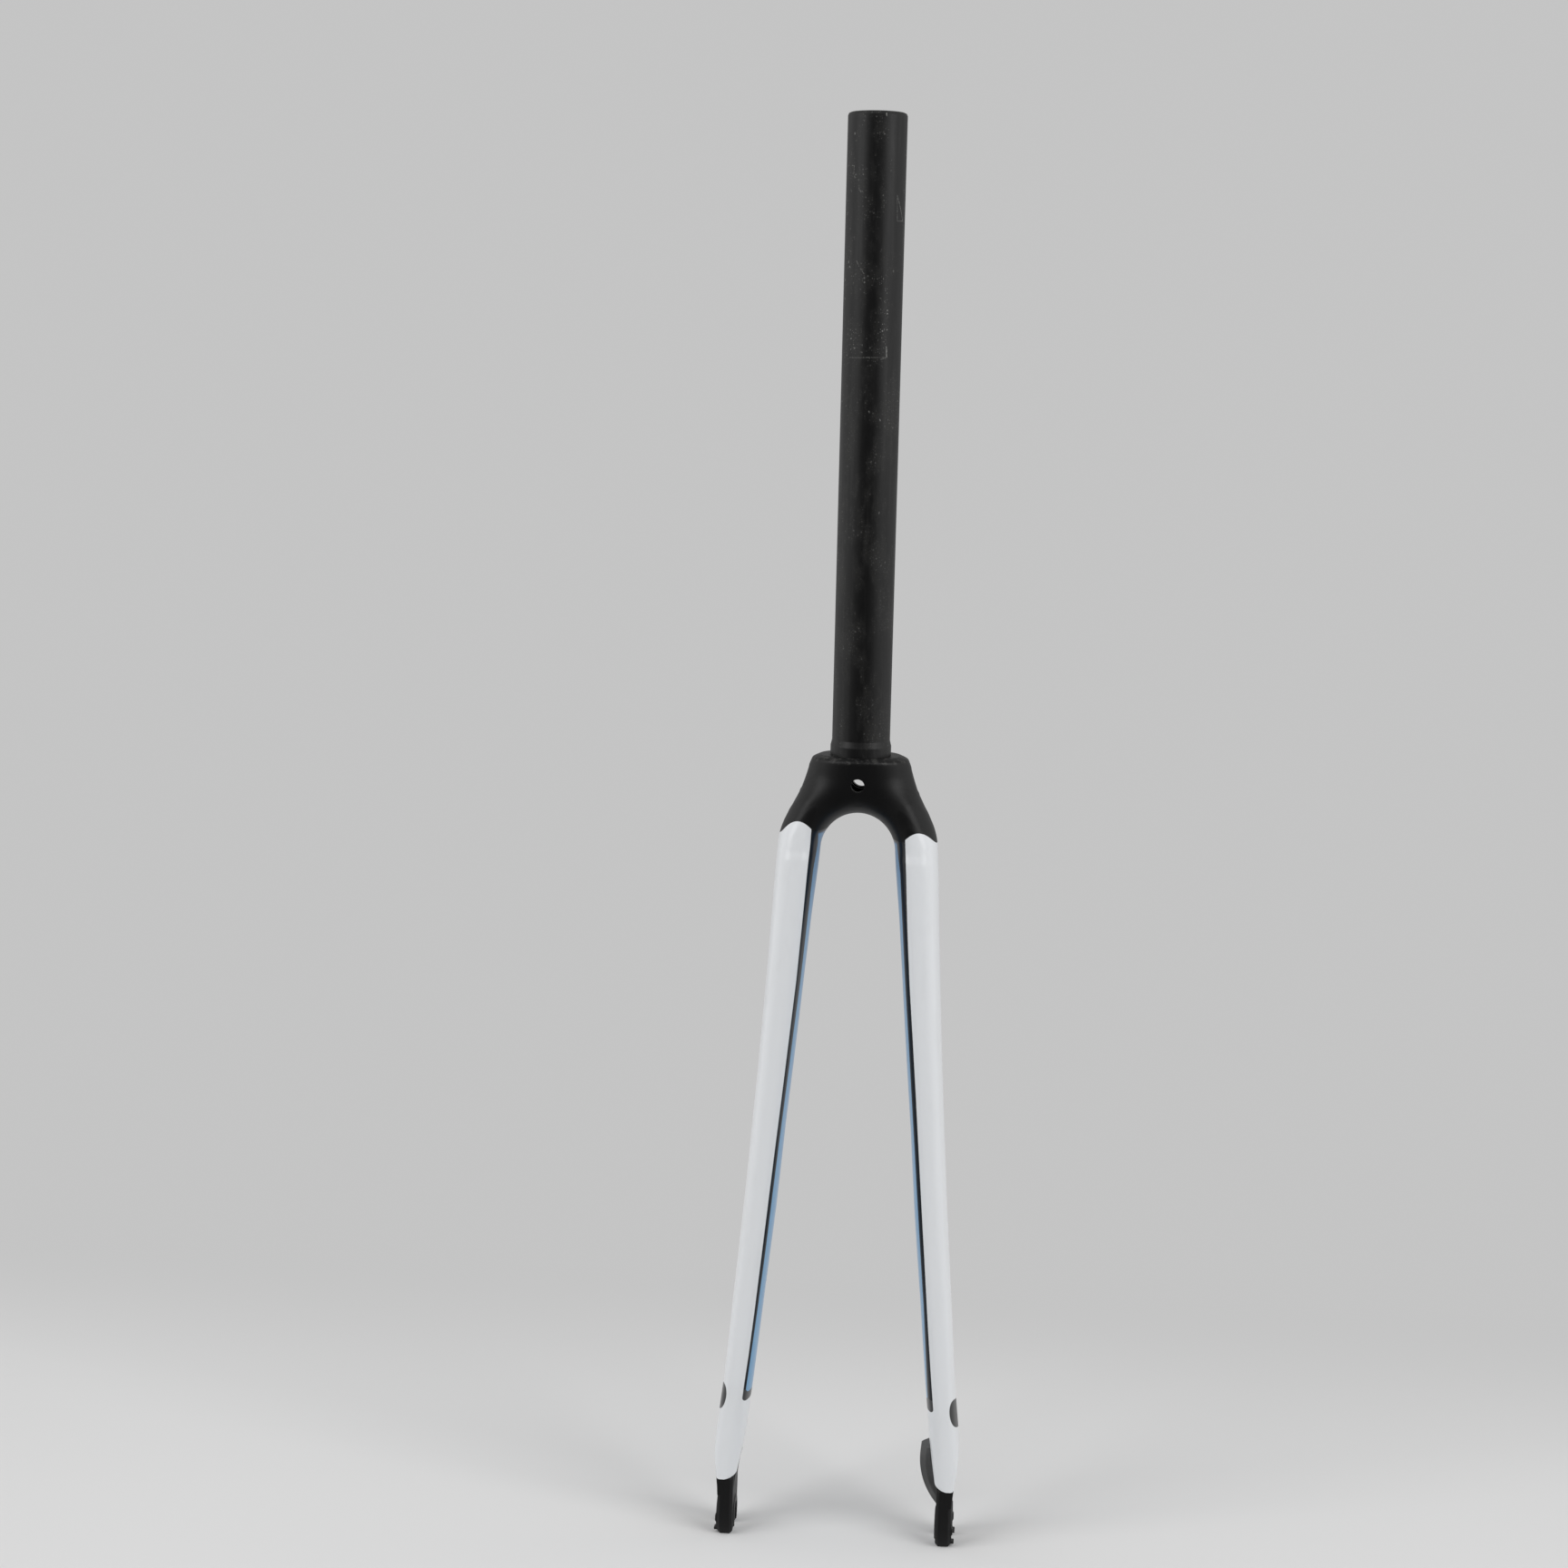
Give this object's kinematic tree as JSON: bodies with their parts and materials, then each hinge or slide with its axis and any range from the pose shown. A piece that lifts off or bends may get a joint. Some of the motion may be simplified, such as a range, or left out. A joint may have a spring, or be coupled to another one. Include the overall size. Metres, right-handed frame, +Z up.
{
  "type": "rigid bicycle fork",
  "caption": "Rigid road fork with a straight threadless steerer, drilled crown for a caliper brake, forward-leaning blades and open axle dropouts.",
  "frame": {"origin": "on the steerer's axis at the crown shoulder, under the crown race seat", "axes": "+Z up the steerer, +X to the rider's left, -Y to the front"},
  "size_m": [0.1238, 0.0712, 0.6976],
  "materials": {
    "steerer_raw": "matte dark grey, scuffed",
    "fork_paint": "gloss paint over moulded fibre, white panels, black crown, blue inner stripes",
    "dropout_black": "satin black",
    "cover_black": "satin black"
  },
  "bodies": {
    "root": {"steerer_tube": "steerer_raw", "crown_and_blades": "fork_paint", "left_dropout": "dropout_black", "right_dropout": "dropout_black", "sensor_cover": "cover_black"}
  },
  "joints": []
}
